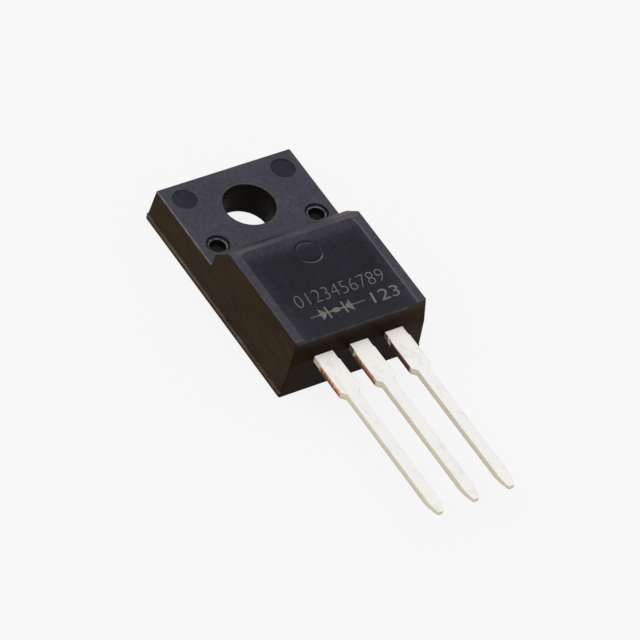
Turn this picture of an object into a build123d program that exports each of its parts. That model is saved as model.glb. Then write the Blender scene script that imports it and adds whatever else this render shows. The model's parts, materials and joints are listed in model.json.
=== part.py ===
from build123d import *
import os
from math import radians, tan

os.makedirs("parts", exist_ok=True)

# Schottky diode pair in a fully insulated, three-lead plastic power package.
# Millimetres. The origin is where the axis of the mounting hole meets the flat back face.
# +Z runs from the back face to the marked front, +Y to the tab's free end, +X across.
# Left and right are as seen from the front with the leads pointing down.

# Moulded body, outer form
body_width = 10.24
body_thickness = 4.6
tab_thickness = 2.5
hole_to_tab_end = 3.15
hole_to_step = 3.45
hole_to_lead_end = 12.65
step_bevel = 1.1
base_strip_height = 0.4
base_strip_ledge = 0.06

# Draft angles that let the moulding leave its tool, in degrees
side_draft = 4.7
tab_end_draft = 3.0
step_draft = 3.0
lead_end_front_draft = 7.5
lead_end_back_draft = 1.0
base_strip_draft = 4.0

# Edge radii of the moulding
body_edge_radius = 0.1
step_foot_radius = 0.15
hole_edge_radius = 0.08

# Mounting hole
hole_diameter = 3.4

# Shallow panel sunk in the front of the block, open towards the leads
panel_depth = 0.08
panel_side_border = 0.64
panel_top_border = 0.35
panel_corner_radius = 0.4
panel_wall_slope = 45.0

# Two round recesses near the tab's free end
pit_diameter = 1.6
pit_depth = 0.08
pit_x = 3.6
pit_y = 1.85
mark_wall_slope = 30.0

# Two blind holes left by the pins that hold the die paddle down in the mould
pin_hole_diameter = 1.05
pin_ring_diameter = 1.56
pin_ring_depth = 0.13
pin_ring_slope = 47.0
pin_rim_depth = 0.05
pin_rim_slope = 62.0
pin_hole_x = 3.6
pin_hole_y = -2.18

# Shallow round groove that the ejector pin leaves in the panel
ejector_diameter = 1.88
ejector_core_diameter = 1.34
ejector_depth = 0.05
ejector_wall_slope = 69.0
ejector_y = -6.27

# Lead frame, as punched from strip
lead_pitch = 2.54
lead_thickness = 0.5
lead_centre_height = 2.76
lead_root_width = 1.3
lead_wide_width = 1.42
lead_narrow_width = 0.8
lead_root_length = 0.7
lead_wide_length = 2.4
lead_length = 13.25
shoulder_length = 0.28
tip_length = 1.25
tip_end_width = 0.34
tip_end_thickness = 0.3
lead_edge_radius = 0.05

# Bond pads at the inner ends of the two outer leads
pad_width = 2.9
pad_offset = 0.16
pad_length = 2.8
pad_end_skin = 0.95
pad_corner_radius = 0.3
anchor_hole_diameter = 0.8
anchor_hole_setback = 0.6

# Copper die paddle on the centre lead
back_skin = 0.6
paddle_thickness = 1.27
paddle_side_skin = 0.85
paddle_end_skin = 2.6
paddle_pin_margin = 0.1
paddle_hole_wall = 0.9
paddle_notch_radius = 3.3
paddle_corner_radius = 0.4
joggle_setback = 0.3

# The two dies, their solder and their clips
die_size = 2.8
die_thickness = 0.28
die_edge_bevel = 0.05
die_x = 2.15
die_y = -6.0
solder_thickness = 0.06
solder_spread = 0.06
clip_thickness = 0.25
clip_width = 1.7
clip_x = 2.3
clip_foot_length = 2.0
clip_bend_gap = 0.1
clip_lead_solder_length = 1.3

# Heights worked out from the stack of pieces
paddle_top = back_skin + paddle_thickness
die_bottom = paddle_top + solder_thickness
die_top = die_bottom + die_thickness
clip_foot_bottom = die_top + solder_thickness
lead_bottom = lead_centre_height - lead_thickness / 2
lead_top = lead_bottom + lead_thickness
clip_head_bottom = lead_top + solder_thickness

# Places worked out from the outline
parting_height = lead_centre_height
lead_end_y = -hole_to_lead_end
bevel_foot = body_thickness - step_bevel
pad_lead_side_y = lead_end_y + pad_end_skin
pad_die_side_y = pad_lead_side_y + pad_length
paddle_lead_side_y = lead_end_y + paddle_end_skin
panel_floor = body_thickness - panel_depth
pin_ring_floor = tab_thickness - pin_ring_depth
overcut = 1.0


def lean(height, angle):
    """How far a wall leans over a height at a draft angle."""
    return height * tan(radians(angle))


def side_half_width(height):
    """Half the width between the drafted side walls at a height."""
    return body_width / 2 - base_strip_ledge - lean(height - base_strip_height, side_draft)


def lead_wall_y(height):
    """Where the lead-end wall stands at a height: it leans both ways from the parting line."""
    if height >= parting_height:
        return lead_end_y + lean(height - parting_height, lead_end_front_draft)
    return lead_end_y + lean(parting_height - height, lead_end_back_draft)


def tab_end_base_y():
    """Where the tab's end wall meets the base strip."""
    return hole_to_tab_end + lean(tab_thickness - base_strip_height, tab_end_draft)


def step_top_y():
    """Where the upright wall of the step meets its bevel."""
    return -hole_to_step - lean(bevel_foot - tab_thickness, step_draft)


def across_body(*points):
    """Solid of a side-view outline of (y, z) points, carried across the whole width."""
    return extrude(Plane.YZ * make_face(Polyline(*points, close=True)), body_width, both=True)


def along_body(*points):
    """Solid of an end-view outline of (x, z) points, carried along the whole length."""
    outline = Polyline(*[(-x, z) for x, z in points], close=True)
    return extrude(Plane.XZ * make_face(outline), 2 * hole_to_lead_end, both=True)


def block_side_view():
    """Face of tab, step, bevel and block above the base strip, with its corners rounded."""
    foot_corner = (-hole_to_step, tab_thickness)
    front_corners = [
        (lead_wall_y(body_thickness), body_thickness),
        (step_top_y() - step_bevel, body_thickness),
        (step_top_y(), bevel_foot),
        (hole_to_tab_end, tab_thickness),
    ]
    outline = Polyline(
        (lead_wall_y(base_strip_height), base_strip_height),
        (lead_end_y, parting_height),
        *front_corners[:3],
        foot_corner,
        front_corners[3],
        (tab_end_base_y(), base_strip_height),
        close=True,
    )
    face = make_face(outline)
    for corner in front_corners:
        vertex = face.vertices().sort_by_distance((*corner, 0))[0]
        face = fillet(vertex, body_edge_radius)
    foot = face.vertices().sort_by_distance((*foot_corner, 0))[0]
    return fillet(foot, step_foot_radius)


def upper_form():
    """Tab and block above the base strip, with drafted walls and rounded edges."""
    base = side_half_width(base_strip_height)
    front = side_half_width(body_thickness)
    walls = along_body(
        (base, base_strip_height),
        (front, body_thickness),
        (-front, body_thickness),
        (-base, base_strip_height),
    )
    form = extrude(Plane.YZ * block_side_view(), body_width, both=True) & walls
    side_edges = form.edges().filter_by(
        lambda edge: edge.center().Z > base_strip_height + 0.001
        and abs(abs(edge.center().X) - side_half_width(edge.center().Z)) < 0.01
    )
    return fillet(side_edges, body_edge_radius)


def base_strip():
    """Slightly wider strip along the back, below the line where the mould halves meet."""
    inset = lean(base_strip_height, base_strip_draft)
    half = body_width / 2
    tab_end = tab_end_base_y() + base_strip_ledge
    length_form = across_body(
        (lead_wall_y(0), 0),
        (lead_wall_y(base_strip_height), base_strip_height),
        (tab_end, base_strip_height),
        (tab_end - inset, 0),
    )
    width_form = along_body(
        (half - inset, 0), (half, base_strip_height), (-half, base_strip_height), (inset - half, 0)
    )
    strip = length_form & width_form
    corners = strip.edges().filter_by(lambda edge: abs((edge @ 1).Z - (edge @ 0).Z) > base_strip_height / 2)
    return fillet(corners, body_edge_radius)


def with_mounting_hole(solid):
    """Bore the mounting hole through the tab and round its front rim."""
    solid -= Cylinder(hole_diameter / 2, 2 * body_thickness)
    front_rim = solid.edges().filter_by(GeomType.CIRCLE).filter_by(
        lambda edge: abs(edge.radius - hole_diameter / 2) < 0.001
        and abs(edge.center().Z - tab_thickness) < 0.001
    )
    return fillet(front_rim, hole_edge_radius)


def round_recess(x, y, surface, diameter, depth, wall_slope=mark_wall_slope):
    """Shallow round recess tool whose wall opens towards the surface."""
    floor_radius = diameter / 2 - lean(depth, wall_slope)
    top_radius = diameter / 2 + lean(depth, wall_slope)
    tool = Cone(floor_radius, top_radius, 2 * depth, align=(Align.CENTER, Align.CENTER, Align.MIN))
    return Pos(x, y, surface - depth) * tool


def with_tab_marks(solid):
    """Sink the two round recesses and the two ringed pin holes into the tab."""
    rim_diameter = pin_hole_diameter + 2 * lean(pin_rim_depth, pin_rim_slope)
    hole_depth = tab_thickness - paddle_top
    bore = Cylinder(pin_hole_diameter / 2, hole_depth, align=(Align.CENTER, Align.CENTER, Align.MIN))
    for side in (-1, 1):
        x = side * pin_hole_x
        solid -= round_recess(side * pit_x, pit_y, tab_thickness, pit_diameter, pit_depth)
        solid -= round_recess(
            x, pin_hole_y, tab_thickness, pin_ring_diameter, pin_ring_depth, pin_ring_slope
        )
        solid -= round_recess(x, pin_hole_y, pin_ring_floor, rim_diameter, pin_rim_depth, pin_rim_slope)
        solid -= Pos(x, pin_hole_y, paddle_top) * bore
    return solid


def with_panel(solid):
    """Sink the front panel, open at the lead end, and the groove of the ejector mark in it."""
    half = side_half_width(body_thickness) - panel_side_border
    top_y = step_top_y() - step_bevel - panel_top_border
    open_y = lead_end_y - overcut
    floor = make_face(Polyline((-half, open_y), (-half, top_y), (half, top_y), (half, open_y), close=True))
    floor = fillet(floor.vertices().group_by(Axis.Y)[-1], panel_corner_radius)
    solid -= extrude(Pos(0, 0, panel_floor) * floor, 2 * panel_depth, taper=-panel_wall_slope)
    return solid - ejector_groove()


def ejector_groove():
    """Ring tool for the groove round the ejector mark."""
    place = (0, ejector_y, panel_floor)
    outside = round_recess(*place, ejector_diameter, ejector_depth, ejector_wall_slope)
    core = round_recess(*place, ejector_core_diameter, ejector_depth, -ejector_wall_slope)
    return outside - core


def moulded_body(held_inside):
    """The one-piece epoxy moulding, with the exact cavities of what it is moulded round."""
    body = upper_form() + base_strip()
    body = with_mounting_hole(body)
    body = with_panel(body)
    body = with_tab_marks(body)
    for piece in held_inside:
        body -= piece
    return body


def lead_blade(x, inner_y):
    """Flat punched lead: root, wide part, shoulders, narrow part and rounded, coined tip."""
    root = lead_root_width / 2
    wide = lead_wide_width / 2
    narrow = lead_narrow_width / 2
    tip = tip_end_width / 2
    wide_start = lead_end_y - lead_root_length
    wide_end = wide_start - lead_wide_length
    lead_end = lead_end_y - lead_length
    tip_start = lead_end + tip_length
    # The tip's side is an arc that leaves the narrow part without a corner.
    fall = narrow - tip
    arc_radius = (tip_length**2 + fall**2) / (2 * fall)
    middle_fall = arc_radius - (arc_radius**2 - (tip_length / 2) ** 2) ** 0.5
    right_side = Polyline(
        (0, inner_y),
        (root, inner_y),
        (root, wide_start),
        (wide, wide_start - (wide - root)),
        (wide, wide_end),
        (narrow, wide_end - shoulder_length),
        (narrow, tip_start),
    )
    right_tip = ThreePointArc(
        (narrow, tip_start), (narrow - middle_fall, tip_start - tip_length / 2), (tip, lead_end)
    )
    half = right_side + right_tip + Line((tip, lead_end), (0, lead_end))
    outline = make_face(half + mirror(half, Plane.YZ))
    blade = extrude(Pos(0, 0, lead_bottom) * outline, lead_thickness)
    coining = (lead_thickness - tip_end_thickness) / 2
    side_view = across_body(
        (inner_y, lead_bottom),
        (tip_start, lead_bottom),
        (lead_end, lead_bottom + coining),
        (lead_end, lead_top - coining),
        (tip_start, lead_top),
        (inner_y, lead_top),
    )
    blade &= side_view
    long_edges = blade.edges().filter_by(Axis.Y).filter_by(lambda edge: edge.length > lead_root_length / 2)
    blade = fillet(long_edges, lead_edge_radius)
    return Pos(x, 0, 0) * blade


def outer_lead(side):
    """Outer lead with the bond pad that the clip lands on, and a hole that locks it in."""
    pad_x = side * (lead_pitch + pad_offset)
    pad_y = (pad_lead_side_y + pad_die_side_y) / 2
    pad = extrude(
        Pos(pad_x, pad_y, lead_bottom) * RectangleRounded(pad_width, pad_length, pad_corner_radius),
        lead_thickness,
    )
    anchor_y = pad_lead_side_y + anchor_hole_setback
    anchor = Pos(pad_x, anchor_y, lead_centre_height) * Cylinder(anchor_hole_diameter / 2, 2 * lead_thickness)
    inner_y = pad_lead_side_y + pad_corner_radius
    return lead_blade(side * lead_pitch, inner_y) + pad - anchor


def bent_strip(start_y, bend_y, end_y, low, high, thickness):
    """Side view of a strip that runs level, rises at 45 degrees from bend_y and runs level."""
    mitre = thickness * tan(radians(22.5))
    rise = high - low
    return across_body(
        (start_y, low),
        (bend_y, low),
        (bend_y - rise, high),
        (end_y, high),
        (end_y, high + thickness),
        (bend_y - rise + mitre, high + thickness),
        (bend_y + mitre, low + thickness),
        (start_y, low + thickness),
    )


def centre_lead():
    """Centre lead, joggled down inside the body to the thick paddle that carries the dies."""
    half = body_width / 2 - paddle_side_skin
    ear_end_y = pin_hole_y + pin_hole_diameter / 2 + paddle_pin_margin
    notch_foot_y = -hole_diameter / 2 - paddle_hole_wall
    plan = Pos(0, (ear_end_y + paddle_lead_side_y) / 2) * RectangleRounded(
        2 * half, ear_end_y - paddle_lead_side_y, paddle_corner_radius
    )
    plan -= Pos(0, notch_foot_y + paddle_notch_radius) * Circle(paddle_notch_radius)
    paddle = extrude(Pos(0, 0, back_skin) * plan, paddle_thickness)
    joint_y = paddle_lead_side_y + lead_thickness
    bend_y = paddle_lead_side_y - joggle_setback
    joggle_end_y = bend_y - (lead_bottom - (paddle_top - lead_thickness))
    inner_y = joggle_end_y - lead_thickness / 2
    joggle = bent_strip(joint_y, bend_y, inner_y, paddle_top - lead_thickness, lead_bottom, lead_thickness)
    joggle &= Box(lead_root_width, 4 * hole_to_lead_end, 4 * body_thickness)
    return paddle + joggle + lead_blade(0, inner_y)


def solder_layer(x, y, width, length, bottom):
    """Thin solder joint that spreads a little towards its lower face."""
    plan = Rectangle(width + 2 * solder_spread, length + 2 * solder_spread)
    top = Rectangle(width, length)
    return Pos(x, y, bottom) * loft([plan, Pos(0, 0, solder_thickness) * top])


def die(side):
    """Silicon die with its upper edges bevelled."""
    block = Box(die_size, die_size, die_thickness, align=(Align.CENTER, Align.CENTER, Align.MIN))
    block = chamfer(block.edges().group_by(Axis.Z)[-1], die_edge_bevel)
    return Pos(side * die_x, die_y, die_bottom) * block


def clip_bend_y():
    """Where the clip leaves the die and starts to rise."""
    return die_y - clip_foot_length / 2 - clip_bend_gap


def clip(side):
    """Folded copper strap from the top of the die to the pad of the outer lead."""
    foot_start_y = die_y + clip_foot_length / 2
    head_end_y = clip_lead_solder_y() - clip_lead_solder_length / 2
    strap = bent_strip(
        foot_start_y, clip_bend_y(), head_end_y, clip_foot_bottom, clip_head_bottom, clip_thickness
    )
    strap &= Box(clip_width, 4 * hole_to_lead_end, 4 * body_thickness)
    return Pos(side * clip_x, 0, 0) * strap


def clip_lead_solder_y():
    """Middle of the joint on the bond pad, just past the end of the clip's rise."""
    head_start_y = clip_bend_y() - (clip_head_bottom - clip_foot_bottom)
    pad_start_y = min(head_start_y, pad_die_side_y)
    return pad_start_y - solder_spread - clip_bend_gap - clip_lead_solder_length / 2


def diode_side(name, side):
    """The pieces of one of the two diodes, by node name."""
    return {
        f"{name}_lead": outer_lead(side),
        f"{name}_die_solder": solder_layer(side * die_x, die_y, die_size, die_size, paddle_top),
        f"{name}_die": die(side),
        f"{name}_clip_die_solder": solder_layer(
            side * clip_x,
            die_y,
            clip_width - 2 * solder_spread,
            clip_foot_length - 2 * solder_spread,
            die_top,
        ),
        f"{name}_clip": clip(side),
        f"{name}_clip_lead_solder": solder_layer(
            side * clip_x, clip_lead_solder_y(), clip_width, clip_lead_solder_length, lead_top
        ),
    }


def main():
    nodes = {"centre_lead": centre_lead()}
    nodes |= diode_side("left", -1)
    nodes |= diode_side("right", 1)
    nodes["moulded_body"] = moulded_body(nodes.values())
    for name, shape in nodes.items():
        shape.label = name
        export_step(shape, f"parts/{name}.step")


main()
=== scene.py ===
import json
import math

import bmesh
import bpy
from mathutils import Matrix, Vector


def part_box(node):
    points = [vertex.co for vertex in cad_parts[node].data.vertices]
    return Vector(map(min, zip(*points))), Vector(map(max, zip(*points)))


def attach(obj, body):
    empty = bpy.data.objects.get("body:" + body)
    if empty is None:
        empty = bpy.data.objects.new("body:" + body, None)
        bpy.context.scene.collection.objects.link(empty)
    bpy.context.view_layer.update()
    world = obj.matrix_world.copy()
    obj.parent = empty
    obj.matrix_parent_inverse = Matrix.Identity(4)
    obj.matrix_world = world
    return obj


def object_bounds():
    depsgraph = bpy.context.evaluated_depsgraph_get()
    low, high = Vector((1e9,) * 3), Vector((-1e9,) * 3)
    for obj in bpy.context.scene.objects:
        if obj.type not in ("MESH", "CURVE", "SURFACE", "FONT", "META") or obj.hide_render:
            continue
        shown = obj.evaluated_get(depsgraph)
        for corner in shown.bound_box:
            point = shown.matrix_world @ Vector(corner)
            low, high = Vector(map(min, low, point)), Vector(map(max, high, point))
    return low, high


# Looks, print, stage and camera for a Schottky diode pair in a plastic power package.
# Everything is in metres, in the frame of the CAD model; mm turns millimetres into metres.

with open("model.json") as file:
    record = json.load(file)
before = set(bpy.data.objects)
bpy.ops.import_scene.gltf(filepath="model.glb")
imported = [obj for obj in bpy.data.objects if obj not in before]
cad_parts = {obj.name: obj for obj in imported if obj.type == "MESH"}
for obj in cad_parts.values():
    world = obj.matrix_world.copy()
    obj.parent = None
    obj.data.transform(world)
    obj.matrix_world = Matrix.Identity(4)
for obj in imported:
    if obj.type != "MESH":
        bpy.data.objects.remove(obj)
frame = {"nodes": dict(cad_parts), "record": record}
cad_low, cad_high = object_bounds()
mm = 0.001

# Places read from the frame, in millimetres
body_low, body_high = (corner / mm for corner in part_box("moulded_body"))
lead_end_wall_y = body_low.y
front_z = body_high.z
lead_bottom_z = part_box("left_lead")[0].z / mm

# Moulded forms that carry a finish of their own, in millimetres
panel_depth = 0.08
panel_z = front_z - panel_depth
panel_half_width = 4.2
panel_top_y = -4.85
ridge_top_y = -4.69
tab_z = 2.5
recess_low_z = 1.8
base_strip_z = 0.4
hole_radius = 1.7
pit_centre = (3.6, 1.85)
pit_radius = 0.8
pin_centre = (3.6, -2.18)
pin_radius = 0.525
pin_rim_radius = 0.63
pin_ring_radius = 0.78
ejector_centre = (0.0, -6.27)
ejector_core_radius = 0.67
ejector_groove_radius = 0.81
ejector_outer_radius = 0.94

# Where the mould has stained the bevel of the step, in millimetres
stain_x = (-3.1, -0.4)
stain_z = (3.95, 4.7)

# Painted shade on the sides of the leads' roots, and the stretch where the tie bar was cut away, in
# millimetres
root_shade_end_y = -13.15
sheared_start_y = -13.4
sheared_end_y = -15.7

# Stretches of x or y along which a finish, a painted highlight or painted shade changes, from its
# start to its end, in millimetres
pale_bevel_x = (2.0, 3.4)
end_wall_shade_fade_x = (2.2, 4.4)
lead_edge_highlight_x = (4.3, 3.2)
ridge_end_x = (4.6, 4.2)
pale_ridge_x = (1.5, 4.0)
panel_side_sheen_x = (3.2, 4.1)
panel_foot_sheen_y = (-8.5, -12.0)
lightened_tin_y = (-17.0, -14.0)
root_shade_x = (-2.6, -0.9)
cut_shade_x = (-2.3, 2.3)
torn_band_x = (0.0, 2.4)

# Distance in millimetres over which one finish of the moulding gives way to the next
blur = 0.01

# Print on the panel, in millimetres: the symbol of a common-cathode pair, beside plain numbers
ink_height = 0.006
ink_sink = 0.002
symbol_y = -10.99
symbol_half_height = 0.47
symbol_top_y = symbol_y + symbol_half_height
symbol_line = 0.11
symbol_bar = 0.13
symbol_left_x = -2.79
symbol_right_x = 1.13
left_triangle_x = (-2.06, -1.60)
right_triangle_x = (0.18, -0.28)
symbol_dot_x = -0.93
symbol_dot_half_width = 0.285
symbol_dot_half_height = 0.19

# Stage and light. The floor's size is in metres and its gap to the part in millimetres.
floor_size = 4.0
floor_gap = 0.02
floor_grey = 0.6
floor_glow_share = 0.85
sky_fill = 0.45
softbox_energy = 1.65
softbox_angle = 70
softbox_direction = (-0.2, -0.05, 0.97)

# Finishes, as linear colours
# The front's blue-grey and the side walls' darker brown are partly a difference of finish and partly
# painted light: a painted cool sheen on the front and painted shade on the side walls.
FRONT_COLOUR = (0.059, 0.058, 0.073)
PANEL_COLOUR = (0.019, 0.018, 0.0235)
# Painted highlight on the flat border above the panel.
RIDGE_HIGHLIGHT_COLOUR = (0.110, 0.092, 0.098)
PIT_COLOUR = (0.028, 0.027, 0.034)
# Painted shade in the pin holes' ring grooves and on the ejector groove's slopes that face the leads.
GROOVE_SHADE_COLOUR = (0.011, 0.010, 0.014)
STAIN_COLOUR = (0.020, 0.012, 0.010)
BEVEL_PALE_COLOUR = (0.17, 0.14, 0.12)
SIDE_COLOUR = (0.033, 0.019, 0.008)
# Painted shade on the wall at the lead end, fading out towards its right end.
END_WALL_SHADE_COLOUR = (0.012, 0.006, 0.002)
# Painted highlight on the base strip, lighter and warmer than the side wall.
BASE_STRIP_HIGHLIGHT_COLOUR = (0.114, 0.079, 0.060)
# Painted shade on the wall of the mounting hole.
BORE_SHADE_COLOUR = (0.007, 0.005, 0.002)
# Painted highlight on rounded edges, lips and slopes.
HIGHLIGHT_COLOUR = (0.16, 0.15, 0.155)
TIN_COLOUR = (0.88, 0.87, 0.84)
# Painted light: tin made lighter near the body, where its shade falls, and on the sides.
LIGHTENED_TIN_COLOUR = (0.93, 0.91, 0.87)
TIN_STAIN_COLOUR = (0.66, 0.65, 0.63)
TIN_SIDE_COLOUR = (0.91, 0.80, 0.59)
BURNISHED_COLOUR = (0.62, 0.33, 0.18)
TORN_COLOUR = (0.16, 0.08, 0.04)
# Painted shade on the sides of the leads' roots.
ROOT_SHADE_COLOUR = (0.035, 0.022, 0.014)
OXIDE_COLOUR = (0.14, 0.07, 0.045)
BLACK_OXIDE_COLOUR = (0.009, 0.009, 0.007)
COPPER_COLOUR = (0.72, 0.36, 0.21)
SOLDER_COLOUR = (0.52, 0.53, 0.55)
SILICON_COLOUR = (0.10, 0.10, 0.12)
SILVER_COLOUR = (0.70, 0.70, 0.68)
INK_COLOUR = (0.162, 0.162, 0.145)


class Graph:
    """One material's node tree, with short calls for the nodes that the finishes share."""

    def __init__(self, name):
        self.material = bpy.data.materials.new(name)
        self.material.use_nodes = True
        self.tree = self.material.node_tree
        self.shader = self.tree.nodes["Principled BSDF"]
        coordinates = self.tree.nodes.new("ShaderNodeTexCoord")
        self.place = self.scaled(coordinates.outputs["Object"], (1 / mm, 1 / mm, 1 / mm))
        self.x, self.y, self.z = self.parts_of(self.place)
        self.normal_x, self.normal_y, self.normal_z = self.parts_of(coordinates.outputs["Normal"])

    def feed(self, socket, value):
        """Link a socket to another node's output, or set it to a plain value."""
        if isinstance(value, bpy.types.NodeSocket):
            self.tree.links.new(value, socket)
        elif isinstance(value, tuple) and len(value) == 3 and socket.type == "RGBA":
            socket.default_value = (*value, 1.0)
        else:
            socket.default_value = value

    def set(self, **values):
        """Set or link sockets of the main shader; an underscore stands for a space."""
        for name, value in values.items():
            self.feed(self.shader.inputs[name.replace("_", " ")], value)

    def parts_of(self, vector):
        node = self.tree.nodes.new("ShaderNodeSeparateXYZ")
        self.feed(node.inputs[0], vector)
        return node.outputs

    def scaled(self, vector, factors):
        node = self.tree.nodes.new("ShaderNodeVectorMath")
        node.operation = "MULTIPLY"
        self.feed(node.inputs[0], vector)
        node.inputs[1].default_value = factors
        return node.outputs[0]

    def math(self, operation, *values):
        node = self.tree.nodes.new("ShaderNodeMath")
        node.operation = operation
        for socket, value in zip(node.inputs, values):
            self.feed(socket, value)
        return node.outputs[0]

    def chain(self, operation, first, *others):
        """Apply an operation to the first two values, then to its result and the next, and so on."""
        result = first
        for value in others:
            result = self.math(operation, result, value)
        return result

    def product(self, *values):
        return self.chain("MULTIPLY", *values)

    def total(self, *values):
        return self.chain("ADD", *values)

    def less(self, *values):
        """The first value less each of the others."""
        return self.chain("SUBTRACT", *values)

    def largest(self, *values):
        return self.chain("MAXIMUM", *values)

    def size_of(self, value):
        """A value without its sign."""
        return self.math("ABSOLUTE", value)

    def ramp(self, value, start, end, low=0.0, high=1.0):
        """Smooth step from low, at start, to high, at end. Start may be above end."""
        node = self.tree.nodes.new("ShaderNodeMapRange")
        node.interpolation_type = "SMOOTHSTEP"
        reverse = start > end
        settings = (end, start, high, low) if reverse else (start, end, low, high)
        self.feed(node.inputs["Value"], value)
        for name, setting in zip(("From Min", "From Max", "To Min", "To Max"), settings):
            node.inputs[name].default_value = setting
        return node.outputs[0]

    def between(self, value, low, high, soft):
        """One between low and high, nought outside, with soft ends."""
        rise = self.ramp(value, low - soft, low + soft)
        fall = self.ramp(value, high + soft, high - soft)
        return self.product(rise, fall)

    def radius_from(self, centre, x):
        """Distance from a centre, seen from above, of a place whose x may be mirrored."""
        across = self.math("POWER", self.less(x, centre[0]), 2.0)
        along = self.math("POWER", self.less(self.y, centre[1]), 2.0)
        return self.math("SQRT", self.total(across, along))

    def noise(self, size, detail=2.0, stretch=(1, 1, 1), roughness=0.5):
        """Noise from 0 to 1 whose blobs are about size millimetres across."""
        node = self.tree.nodes.new("ShaderNodeTexNoise")
        self.feed(node.inputs["Vector"], self.scaled(self.place, stretch))
        node.inputs["Scale"].default_value = 1 / size
        node.inputs["Detail"].default_value = detail
        node.inputs["Roughness"].default_value = roughness
        return node.outputs["Fac"]

    def mix(self, factor, first, second):
        node = self.tree.nodes.new("ShaderNodeMix")
        node.data_type = "RGBA"
        colour_a, colour_b, colour_result = node.inputs[6], node.inputs[7], node.outputs[2]
        self.feed(node.inputs["Factor"], factor)
        self.feed(colour_a, first)
        self.feed(colour_b, second)
        return colour_result

    def shaded(self, colour, factor):
        """A colour made lighter or darker by a factor."""
        node = self.tree.nodes.new("ShaderNodeVectorMath")
        node.operation = "SCALE"
        self.feed(node.inputs[0], colour)
        self.feed(node.inputs["Scale"], factor)
        return node.outputs[0]

    def bump(self, height, distance, strength=1.0):
        """Bump from a height of 0 to 1 that stands for a distance in millimetres."""
        node = self.tree.nodes.new("ShaderNodeBump")
        self.feed(node.inputs["Height"], height)
        self.feed(node.inputs["Distance"], distance * mm)
        self.feed(node.inputs["Strength"], strength)
        return node.outputs[0]


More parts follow.
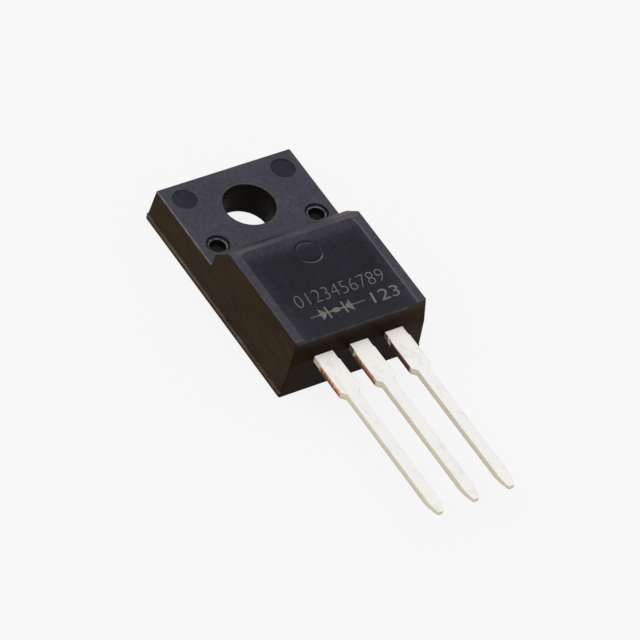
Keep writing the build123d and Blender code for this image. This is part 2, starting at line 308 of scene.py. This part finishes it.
class MouldingGraph(Graph):
    """Where each finish of the moulding, and each painted highlight and shade on it, lies, as masks
    from 0 to 1, and the colour it has there.
    """

    def __init__(self, name):
        super().__init__(name)
        self.mirrored_x = self.size_of(self.x)
        self.from_hole = self.radius_from((0.0, 0.0), self.x)
        self.bore = self.ramp(self.from_hole, hole_radius + 0.03, hole_radius)
        self.facing_front = self.ramp(self.normal_z, 0.90, 0.985)
        self.facing_leads = self.ramp(self.normal_y, -0.6, -0.9)
        self.not_back = self.ramp(self.normal_z, -0.97, -0.85)
        self.facing_side = self.product(self.not_back, self.ramp(self.normal_z, 0.80, 0.50))
        self.mottle = self.noise(0.35, 3.0)
        self.grain = self.noise(0.08, 3.0, roughness=0.7)
        # Streaky noise: a rubbed tone on the side walls, and the break-up of the base strip's painted
        # highlight.
        self.rubs_and_glints = self.noise(0.5, 3.0, (1, 0.35, 1))
        self.find_panel()
        self.find_recesses()
        self.find_ejector_mark()
        self.find_step()
        self.find_base_strip()
        self.find_edges()

    def find_panel(self):
        """The panel, and its sloped wall, which keeps the finish of the front."""
        across = self.ramp(self.mirrored_x, panel_half_width, panel_half_width - blur)
        along = self.ramp(self.y, panel_top_y, panel_top_y - blur)
        below_front = self.between(self.z, panel_z - 0.1, front_z - blur, blur / 2)
        upwards = self.ramp(self.normal_z, 0.3, 0.6)
        self.in_panel = self.product(across, along, below_front, upwards)
        self.panel = self.product(self.in_panel, self.ramp(self.z, panel_z + 0.05, panel_z + 0.01))
        # Painted highlight on the panel's sloped wall that faces negative x.
        self.slope_highlight = self.product(self.in_panel, self.ramp(self.normal_x, -0.3, -0.6))

    def find_recesses(self):
        """The round recesses and the ringed pin holes in the tab."""
        from_pit = self.radius_from(pit_centre, self.mirrored_x)
        from_pin = self.radius_from(pin_centre, self.mirrored_x)
        in_pit = self.ramp(from_pit, pit_radius + 0.06, pit_radius + 0.03)
        in_ring = self.ramp(from_pin, pin_ring_radius + 0.06, pin_ring_radius + 0.03)
        sunk = self.between(self.z, recess_low_z, tab_z - 1.5 * blur, blur / 2)
        rim = self.between(from_pin, pin_radius + 0.01, pin_rim_radius, blur)
        self.in_recess = self.largest(in_pit, in_ring)
        self.pit = self.product(in_pit, sunk)
        self.ring = self.product(in_ring, sunk)
        # Painted highlight on the lip round each pin hole, broken up by the mottle.
        self.lip = self.product(self.ring, rim, self.ramp(self.mottle, 0.35, 0.6, 0.35, 1.0))

    def find_ejector_mark(self):
        """The slopes of the ejector mark's groove, with a painted highlight where they face the tab
        and painted shade where they face the leads.
        """
        from_centre = self.radius_from(ejector_centre, self.x)
        slopes = self.between(from_centre, ejector_core_radius, ejector_outer_radius, blur)
        groove = ejector_groove_radius
        outer = self.ramp(from_centre, groove - blur, groove + blur, 0.3, 1.0)
        # Painted highlight on the slopes that face the tab; painted shade on those that face the
        # leads.
        self.groove_highlight = self.product(slopes, outer, self.ramp(self.normal_y, 0.12, 0.30))
        self.groove_shade = self.product(slopes, self.ramp(self.normal_y, -0.10, -0.28))

    def find_step(self):
        """The bevel of the step with its stain and its paler right end, and a painted highlight on the
        ridge above it, palest towards its ends.
        """
        self.on_bevel = self.ramp(self.normal_y, 0.62, 0.66)
        bevel = self.product(self.on_bevel, self.ramp(self.normal_z, 0.5, 0.6))
        stain_height = self.between(self.z, *stain_z, 0.12)
        self.stain = self.product(bevel, stain_height, self.between(self.x, *stain_x, 0.8))
        # Paler towards the bevel's right end.
        self.pale_bevel_end = self.product(bevel, self.ramp(self.x, *pale_bevel_x))
        # Painted highlight on the border above the panel, stronger towards its ends.
        self.ridge = self.product(
            self.facing_front,
            self.between(self.y, panel_top_y - 0.1, ridge_top_y, 0.04),
            self.ramp(self.mirrored_x, *ridge_end_x),
            self.ramp(self.mirrored_x, *pale_ridge_x, 0.25, 0.8),
        )

    def find_base_strip(self):
        """The ledge of the base strip, which the lead end and the bore don't have."""
        ledge = self.between(self.z, base_strip_z - 0.12, base_strip_z + 0.05, 0.05)
        has_strip = self.less(1.0, self.largest(self.facing_leads, self.bore))
        self.base_strip = self.product(self.not_back, ledge, has_strip)

    def find_edges(self):
        """Rounded edges, which face neither the front nor a side, and the edge above the leads, where
        highlights are painted.
        """
        leaning = self.between(self.normal_z, 0.25, 0.93, 0.06)
        unmarked = self.less(1.0, self.largest(self.in_recess, self.in_panel, self.on_bevel))
        # Painted highlight along rounded edges, weaker on the block and round the mounting hole.
        self.edge = self.product(
            leaning,
            unmarked,
            self.ramp(self.z, tab_z + 0.2, tab_z + 1.0, 1.0, 0.25),
            self.ramp(self.from_hole, hole_radius + 0.2, hole_radius + 0.4, 0.35, 1.0),
        )
        # Painted highlight along the top of the wall at the lead end, fading down the wall.
        near_front = self.ramp(self.z, panel_z - 0.38, panel_z - 0.13)
        self.lead_edge_highlight = self.product(
            self.facing_leads, self.ramp(self.x, *lead_edge_highlight_x), near_front
        )
        self.lead_edge_highlight_fade = self.product(
            self.facing_leads, self.ramp(self.z, panel_z - 0.9, panel_z - 0.2)
        )

    def front_colour(self):
        """Front, panel, recesses and bevel; the panel is lightened near its top, its sides and its
        foot by a painted sheen.
        """
        # Painted sheen: the panel is lightened near its top, its sides and its foot.
        painted_sheen = self.ramp(self.y, panel_top_y - 1.4, panel_top_y - 0.1, 1.0, 2.3)
        painted_sheen = self.largest(painted_sheen, self.ramp(self.mirrored_x, *panel_side_sheen_x, 1.0, 1.5))
        painted_sheen = self.total(painted_sheen, self.ramp(self.y, *panel_foot_sheen_y, 0.0, 0.3))
        front = self.mix(self.ridge, FRONT_COLOUR, RIDGE_HIGHLIGHT_COLOUR)
        front = self.mix(self.panel, front, self.shaded(PANEL_COLOUR, painted_sheen))
        front = self.mix(self.pit, front, PIT_COLOUR)
        front = self.mix(self.product(self.stain, 0.75), front, STAIN_COLOUR)
        return self.mix(self.product(self.pale_bevel_end, 0.5), front, BEVEL_PALE_COLOUR)

    def side_colour(self):
        """Side walls; the wall at the lead end and the bore, with painted shade; and the base strip,
        with a painted highlight.
        """
        side = self.shaded(SIDE_COLOUR, self.ramp(self.rubs_and_glints, 0.3, 0.7, 0.85, 1.15))
        # Painted shade on the wall at the lead end, fading out towards its right end.
        shade_fade = self.ramp(self.x, *end_wall_shade_fade_x, 0.0, 0.9)
        end_wall_shade = self.mix(shade_fade, END_WALL_SHADE_COLOUR, SIDE_COLOUR)
        side = self.mix(self.facing_leads, side, end_wall_shade)
        # Painted shade on the wall of the mounting hole.
        side = self.mix(self.bore, side, BORE_SHADE_COLOUR)
        # Painted highlight on the base strip, broken up by the streaky noise.
        strip = self.shaded(BASE_STRIP_HIGHLIGHT_COLOUR, self.ramp(self.rubs_and_glints, 0.3, 0.7, 0.6, 1.5))
        return self.mix(self.base_strip, side, strip)

    def painted_highlights(self):
        """How strongly each place carries a painted highlight."""
        return self.largest(
            self.product(self.edge, self.ramp(self.noise(0.5, 3.0), 0.3, 0.65, 0.45, 1.0)),
            self.product(self.lip, 0.8),
            self.product(self.groove_highlight, 0.6),
            self.product(self.slope_highlight, 0.6),
            self.product(self.lead_edge_highlight, self.ramp(self.mottle, 0.3, 0.7, 0.26, 0.36)),
            self.product(self.lead_edge_highlight_fade, 0.10),
        )

    def tone(self):
        """Clouds, mottling and grain, as a factor about 1."""
        return self.total(
            self.ramp(self.noise(2.6, 2.0), 0.3, 0.7, 0.93, 1.07),
            self.ramp(self.mottle, 0.25, 0.75, -0.12, 0.12),
            self.ramp(self.grain, 0.3, 0.7, -0.20, 0.20),
        )

    def colour(self):
        """The whole moulding's colour, with its painted highlights and shade, and toned."""
        not_wall = self.largest(self.in_panel, self.pit)
        walls = self.product(self.largest(self.facing_side, self.base_strip), self.less(1.0, not_wall))
        # Painted shade in the ring grooves of the pin holes and on the ejector groove's slopes that
        # face the leads.
        groove_shades = self.largest(self.ring, self.product(self.groove_shade, 0.7))
        colour = self.mix(walls, self.front_colour(), self.side_colour())
        colour = self.mix(groove_shades, colour, GROOVE_SHADE_COLOUR)
        # Painted highlights over the colour.
        colour = self.mix(self.painted_highlights(), colour, HIGHLIGHT_COLOUR)
        return self.shaded(colour, self.tone())


def moulding_finish():
    """Epoxy moulding compound: spark-eroded grain in front, smoother panel, side walls streaked by
    rubbing.
    """
    graph = MouldingGraph("moulding_compound")
    rough = graph.less(
        graph.ramp(graph.mottle, 0.2, 0.8, 0.56, 0.66),
        graph.product(graph.facing_side, 0.16),
        graph.product(graph.panel, 0.10),
        graph.product(graph.edge, 0.12),
    )
    relief = graph.total(graph.product(graph.grain, 0.7), graph.product(graph.mottle, 0.3))
    smoother = (graph.product(graph.facing_side, 0.35), graph.product(graph.panel, 0.25))
    graph.set(
        Base_Color=graph.colour(),
        Roughness=rough,
        Normal=graph.bump(relief, 0.006, graph.less(0.55, *smoother)),
        Coat_Weight=graph.product(graph.edge, 0.5),
    )
    graph.shader.inputs["Specular IOR Level"].default_value = 0.03
    graph.shader.inputs["Coat Roughness"].default_value = 0.25
    return graph.material


class LeadGraph(Graph):
    """Where the lead frame is sheared or carries painted shade on its roots, and its colour there and
    elsewhere.
    """

    def __init__(self, name):
        super().__init__(name)
        self.patch = self.noise(0.55, 3.0, (1, 0.6, 1), 0.6)
        self.speck = self.noise(0.07, 2.0)
        self.torn = self.noise(0.10, 2.0, (1, 1, 0.25))
        ragged = self.total(self.y, self.ramp(self.noise(0.25, 3.0), 0.2, 0.8, -0.18, 0.18))
        sideways = self.ramp(self.size_of(self.normal_x), 0.5, 0.85)
        at_tie_bar = self.between(ragged, sheared_end_y, sheared_start_y, 0.12)
        self.height = self.less(self.z, lead_bottom_z)
        self.sheared = self.product(at_tie_bar, sideways)
        # Painted shade on the sides of the roots of the middle and right leads.
        self.root_shade = self.product(
            sideways,
            self.ramp(ragged, root_shade_end_y, root_shade_end_y + 0.12),
            self.ramp(self.x, *root_shade_x, 0.0, 0.85),
        )

    def tin_colour(self):
        """Stained tin, painted lighter near the body to offset its shade; the sides look tan, with
        painted shade towards the bottom and more of the lighter tin towards the top.
        """
        upright = self.ramp(self.size_of(self.normal_z), 0.7, 0.3)
        # Painted light near the body, against the shade it casts, and on the sides.
        lightened = self.largest(upright, self.ramp(self.y, *lightened_tin_y))
        tin = self.mix(lightened, TIN_COLOUR, LIGHTENED_TIN_COLOUR)
        tin = self.mix(self.ramp(self.patch, 0.50, 0.68, 0.0, 0.40), tin, TIN_STAIN_COLOUR)
        # The sides carry the tan, less of it towards the top, and the tan has painted shade towards
        # the bottom.
        tinned_side = self.product(
            upright,
            self.ramp(self.patch, 0.3, 0.7, 1.0, 0.8),
            self.ramp(self.height, 0.5, 0.25, 0.45, 1.0),
        )
        tan = self.shaded(TIN_SIDE_COLOUR, self.ramp(self.height, 0.02, 0.18, 0.75, 1.0))
        tin = self.mix(tinned_side, tin, tan)
        return self.shaded(tin, self.ramp(self.speck, 0.3, 0.7, 0.95, 1.04))

    def cut_colour(self):
        """The punch leaves a burnished band at the front face, and a torn, oxidised one behind it.

        The cut is darker from the left lead to the right one, which is painted shade, and its torn
        band grows taller the same way.
        """
        ragged_height = self.total(self.height, self.ramp(self.torn, 0.25, 0.75, -0.06, 0.06))
        ragged_height = self.less(ragged_height, self.ramp(self.x, *torn_band_x, 0.0, 0.1))
        cut = self.mix(self.ramp(ragged_height, 0.19, 0.41), TORN_COLOUR, BURNISHED_COLOUR)
        cut = self.shaded(cut, self.ramp(self.torn, 0.25, 0.75, 0.7, 1.25))
        # Painted shade: the cut darkens from the left lead to the right one.
        return self.shaded(cut, self.ramp(self.x, *cut_shade_x, 1.5, 0.45))

    def covered_colour(self):
        """Copper that the moulding covers, blackened where it shows in the pin holes."""
        from_pin = self.radius_from(pin_centre, self.size_of(self.x))
        under_pin = self.ramp(from_pin, pin_radius + 0.15, pin_radius + 0.05)
        oxide = self.shaded(OXIDE_COLOUR, self.ramp(self.patch, 0.3, 0.7, 0.8, 1.1))
        return self.mix(under_pin, oxide, BLACK_OXIDE_COLOUR)

    def colour(self):
        """Tin, bare cuts and painted shade on the roots outside the body, and covered copper inside
        it.
        """
        outside = self.ramp(self.y, lead_end_wall_y + 0.03, lead_end_wall_y - 0.03)
        plated = self.mix(self.sheared, self.tin_colour(), self.cut_colour())
        plated = self.mix(self.root_shade, plated, ROOT_SHADE_COLOUR)
        return self.mix(outside, self.covered_colour(), plated)


def lead_finish():
    """Copper lead frame, dipped in tin outside the body, with bare sheared sides at the tie bar.

    The tin is matt next to the body, and has more of a metal's gloss further out.
    """
    graph = LeadGraph("tinned_copper")
    rolled = graph.noise(0.05, 2.0, (1, 0.04, 1))
    relief = graph.total(graph.product(rolled, 0.5), graph.product(graph.speck, 0.5))
    gloss_of_tin = graph.ramp(graph.y, lead_end_wall_y, lead_end_wall_y - 2.5, 0.03, 0.10)
    graph.set(
        Base_Color=graph.colour(),
        Metallic=graph.largest(gloss_of_tin, graph.product(graph.sheared, 0.8)),
        Roughness=graph.ramp(graph.patch, 0.2, 0.8, 0.56, 0.66),
        Normal=graph.bump(relief, 0.004, 0.35),
    )
    graph.shader.inputs["Specular IOR Level"].default_value = 0.1
    return graph.material


def clip_finish():
    """Bare rolled copper strip."""
    graph = Graph("bare_copper")
    rolled = graph.noise(0.05, 2.0, (1, 0.05, 1))
    tarnish = graph.noise(0.6, 3.0)
    graph.set(
        Base_Color=graph.shaded(COPPER_COLOUR, graph.ramp(tarnish, 0.3, 0.7, 0.75, 1.05)),
        Metallic=1.0,
        Roughness=graph.ramp(tarnish, 0.2, 0.8, 0.30, 0.42),
        Normal=graph.bump(rolled, 0.003, 0.4),
    )
    return graph.material


def solder_finish():
    """Dull solder with a coarse crystalline skin."""
    graph = Graph("solder")
    crystals = graph.noise(0.12, 4.0, roughness=0.7)
    graph.set(
        Base_Color=graph.shaded(SOLDER_COLOUR, graph.ramp(crystals, 0.3, 0.7, 0.8, 1.1)),
        Metallic=1.0,
        Roughness=graph.ramp(crystals, 0.2, 0.8, 0.45, 0.62),
        Normal=graph.bump(crystals, 0.006, 0.5),
    )
    return graph.material


def silicon_finish():
    """Sawn silicon sides, with a metallised field on the die's upper face."""
    graph = Graph("silicon")
    metallised = graph.ramp(graph.normal_z, 0.9, 0.99)
    grain = graph.noise(0.03, 2.0)
    silicon = graph.shaded(SILICON_COLOUR, graph.ramp(grain, 0.3, 0.7, 0.9, 1.1))
    silver = graph.shaded(SILVER_COLOUR, graph.ramp(grain, 0.3, 0.7, 0.93, 1.04))
    graph.set(
        Base_Color=graph.mix(metallised, silicon, silver),
        Metallic=graph.ramp(metallised, 0.0, 1.0, 0.6, 1.0),
        Roughness=graph.ramp(grain, 0.2, 0.8, 0.22, 0.34),
        Normal=graph.bump(grain, 0.002, 0.3),
    )
    return graph.material


def ink_finish():
    """Pale, slightly patchy laser mark on dark compound; the symbol's outer lines are fainter."""
    graph = Graph("laser_mark")
    burn = graph.noise(0.06, 3.0)
    patch = graph.noise(0.5, 2.0)
    outer_line = graph.product(
        graph.ramp(graph.size_of(graph.less(graph.x, symbol_dot_x)), 1.1, 1.5),
        graph.ramp(graph.x, symbol_right_x + 0.3, symbol_right_x + 0.1),
        graph.ramp(graph.y, symbol_top_y + 0.3, symbol_top_y + 0.1),
    )
    tone = graph.product(
        graph.ramp(burn, 0.25, 0.75, 0.70, 1.15),
        graph.ramp(patch, 0.3, 0.7, 0.85, 1.05),
        graph.ramp(outer_line, 0.0, 1.0, 1.0, 0.55),
    )
    graph.set(
        Base_Color=graph.shaded(INK_COLOUR, tone),
        Roughness=graph.ramp(burn, 0.2, 0.8, 0.6, 0.8),
        Normal=graph.bump(burn, 0.004, 0.5),
    )
    graph.shader.inputs["Specular IOR Level"].default_value = 0.2
    return graph.material


def dress_cad_nodes():
    """Give every CAD node the finish that its material slot names."""
    finishes = {
        "moulding": moulding_finish(),
        "tinned_copper": lead_finish(),
        "bare_copper": clip_finish(),
        "silicon": silicon_finish(),
        "solder": solder_finish(),
    }
    for subpart in frame["record"]["subparts"]:
        piece = frame["nodes"][subpart["node"]]
        for slot in piece.material_slots:
            slot.material = finishes[subpart["material_slot"]]


def prism(mesh, outline):
    """Add a thin upright plate of a plan outline of (x, y) points, in millimetres."""
    low, high = panel_z - ink_sink, panel_z + ink_height
    bottom = [mesh.verts.new((x * mm, y * mm, low * mm)) for x, y in outline]
    top = [mesh.verts.new((x * mm, y * mm, high * mm)) for x, y in outline]
    mesh.faces.new(reversed(bottom))
    mesh.faces.new(top)
    for i in range(len(outline)):
        j = (i + 1) % len(outline)
        mesh.faces.new((bottom[i], bottom[j], top[j], top[i]))


def bar(mesh, x_ends, half_height):
    """Add an upright or lying bar of the symbol, centred on the symbol's line."""
    x_start, x_end = sorted(x_ends)
    low, high = symbol_y - half_height, symbol_y + half_height
    prism(mesh, [(x_start, low), (x_end, low), (x_end, high), (x_start, high)])


def diode(mesh, outer_x, base_x, tip_x, dot_end):
    """Add one diode, with its outer line and its link to the dot."""
    half_line = symbol_line / 2
    side = math.copysign(1, tip_x - base_x)
    bar_end = tip_x + side * symbol_bar
    triangle = [(base_x, symbol_y - symbol_half_height), (tip_x, symbol_y), (base_x, symbol_top_y)]
    prism(mesh, triangle if side > 0 else triangle[::-1])
    bar(mesh, (outer_x, base_x), half_line)
    bar(mesh, (tip_x, bar_end), symbol_half_height)
    bar(mesh, (bar_end, symbol_dot_x - side * dot_end), half_line)


def diode_symbol():
    """Two filled diodes that point at a shared middle terminal, on one line."""
    mesh = bmesh.new()
    flat_end = math.asin(symbol_line / 2 / symbol_dot_half_height)
    dot_end = symbol_dot_half_width * math.cos(flat_end)
    diode(mesh, symbol_left_x, *left_triangle_x, dot_end)
    diode(mesh, symbol_right_x, *right_triangle_x, dot_end)
    arc_steps = 12
    arc = [flat_end + (math.pi - 2 * flat_end) * i / arc_steps for i in range(arc_steps + 1)]
    dot = []
    for angle in arc + [math.pi + angle for angle in arc]:
        x = symbol_dot_x + symbol_dot_half_width * math.cos(angle)
        y = symbol_y + symbol_dot_half_height * math.sin(angle)
        dot.append((x, y))
    prism(mesh, dot)
    data = bpy.data.meshes.new("print_diode_symbol")
    mesh.to_mesh(data)
    mesh.free()
    return bpy.data.objects.new("print_diode_symbol", data)


def letter_mesh(name, text, slant, thinning, half_thickness):
    """Mesh of a line of text, at the size of the font."""
    curve = bpy.data.curves.new(name, "FONT")
    curve.body = text
    curve.shear = slant
    curve.offset = -thinning
    curve.extrude = half_thickness
    curve.resolution_u = 6
    draft = bpy.data.objects.new(name + "_draft", curve)
    bpy.context.scene.collection.objects.link(draft)
    bpy.context.view_layer.update()
    data = bpy.data.meshes.new_from_object(draft.evaluated_get(bpy.context.evaluated_depsgraph_get()))
    bpy.data.objects.remove(draft)
    data.name = name
    return data


def numbers(name, text, x_start, x_end, baseline_y, height, slant, thinning):
    """Plain numbers set on the panel between two x positions, with a given height."""
    half_thickness = 0.5
    data = letter_mesh(name, text, slant, thinning, half_thickness)
    xs = [v.co.x for v in data.vertices]
    ys = [v.co.y for v in data.vertices]
    scale_x = (x_end - x_start) / (max(xs) - min(xs))
    scale_y = height / (max(ys) - min(ys))
    thickness = ink_height + ink_sink
    for v in data.vertices:
        v.co.x = (x_start + (v.co.x - min(xs)) * scale_x) * mm
        v.co.y = (baseline_y + (v.co.y - min(ys)) * scale_y) * mm
        v.co.z = (panel_z - ink_sink + (v.co.z + half_thickness) * thickness) * mm
    return bpy.data.objects.new(name, data)


def make_print():
    """The symbol and two rows of numbers, which ride on the body."""
    ink = ink_finish()
    symbol = diode_symbol()
    long_row = numbers(
        "print_numbers_long",
        "0123456789",
        x_start=-3.02,
        x_end=3.32,
        baseline_y=-10.09,
        height=1.0,
        slant=0.1,
        thinning=0.024,
    )
    short_row = numbers(
        "print_numbers_short",
        "123",
        x_start=1.58,
        x_end=3.56,
        baseline_y=-11.45,
        height=0.87,
        slant=0.1,
        thinning=0.002,
    )
    for piece in (symbol, long_row, short_row):
        piece.data.materials.clear()
        piece.data.materials.append(ink)
        bpy.context.scene.collection.objects.link(piece)
        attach(piece, "root")


def background_rays(tree):
    """One for the rays that show the background: straight from the camera, mirrored or let through."""
    rays = tree.nodes.new("ShaderNodeLightPath")
    result = rays.outputs["Is Camera Ray"]
    for name in ("Is Glossy Ray", "Is Transmission Ray"):
        either = tree.nodes.new("ShaderNodeMath")
        either.operation = "MAXIMUM"
        tree.links.new(result, either.inputs[0])
        tree.links.new(rays.outputs[name], either.inputs[1])
        result = either.outputs[0]
    return result


def floor_finish():
    """Grey paper that glows white for the rays that show the background."""
    material = bpy.data.materials.new("floor_white")
    material.use_nodes = True
    tree = material.node_tree
    output = tree.nodes["Material Output"]
    tree.nodes.remove(tree.nodes["Principled BSDF"])
    paper = tree.nodes.new("ShaderNodeBsdfDiffuse")
    paper.inputs["Color"].default_value = (floor_grey, floor_grey, floor_grey, 1)
    glow = tree.nodes.new("ShaderNodeEmission")
    glow.inputs["Strength"].default_value = 1.0
    share = tree.nodes.new("ShaderNodeMath")
    share.operation = "MULTIPLY"
    share.inputs[1].default_value = floor_glow_share
    mixer = tree.nodes.new("ShaderNodeMixShader")
    tree.links.new(background_rays(tree), share.inputs[0])
    tree.links.new(share.outputs[0], mixer.inputs["Fac"])
    tree.links.new(paper.outputs[0], mixer.inputs[1])
    tree.links.new(glow.outputs[0], mixer.inputs[2])
    tree.links.new(mixer.outputs[0], output.inputs["Surface"])
    return material


def make_floor():
    """Pale floor just under the part; it looks near white and keeps the part's soft shadow."""
    bpy.ops.mesh.primitive_plane_add(size=floor_size, location=(0, 0, cad_low.z - floor_gap * mm))
    floor = bpy.context.object
    floor.name = "floor"
    floor.data.materials.append(floor_finish())


def make_world():
    """Even, dim sky for the fill light, which looks white behind the part."""
    world = bpy.data.worlds.new("studio")
    world.use_nodes = True
    bpy.context.scene.world = world
    tree = world.node_tree
    background = tree.nodes["Background"]
    background.inputs["Color"].default_value = (1, 1, 1, 1)
    level = tree.nodes.new("ShaderNodeMapRange")
    level.inputs["To Min"].default_value = sky_fill
    level.inputs["To Max"].default_value = 1.0
    tree.links.new(background_rays(tree), level.inputs["Value"])
    tree.links.new(level.outputs[0], background.inputs["Strength"])


def make_softbox():
    """Wide overhead light with soft shadows."""
    lamp = bpy.data.lights.new("softbox", "SUN")
    lamp.energy = softbox_energy
    lamp.angle = math.radians(softbox_angle)
    softbox = bpy.data.objects.new("softbox", lamp)
    softbox.rotation_mode = "QUATERNION"
    softbox.rotation_quaternion = Vector(softbox_direction).to_track_quat("Z", "Y")
    bpy.context.scene.collection.objects.link(softbox)


def make_camera():
    """The photograph's long-lens view, fitted to its edge points."""
    azimuth = math.radians(-43.420)
    elevation = math.radians(46.306)
    roll = math.radians(15.671)
    distance = 310.41 * mm
    offset_right = 4.795 * mm
    offset_up = -5.473 * mm
    focal_pixels = 5020.8
    frame_pixels = 640
    back_x = math.sin(azimuth) * math.cos(elevation)
    back_y = -math.cos(azimuth) * math.cos(elevation)
    back = Vector((back_x, back_y, math.sin(elevation)))
    level_right = Vector((0, 0, 1)).cross(back).normalized()
    level_up = back.cross(level_right)
    right = level_right * math.cos(roll) + level_up * math.sin(roll)
    up = level_up * math.cos(roll) - level_right * math.sin(roll)
    place = right * offset_right + up * offset_up + back * distance
    turn = Matrix((right, up, back)).transposed().to_4x4()
    lens = bpy.data.cameras.new("camera")
    lens.sensor_width = 36
    lens.lens = focal_pixels * lens.sensor_width / frame_pixels
    camera = bpy.data.objects.new("camera", lens)
    camera.matrix_world = Matrix.Translation(place) @ turn
    bpy.context.scene.collection.objects.link(camera)
    bpy.context.scene.camera = camera


dress_cad_nodes()
make_print()
make_floor()
make_world()
make_softbox()
make_camera()
bpy.context.scene.view_settings.view_transform = "Standard"
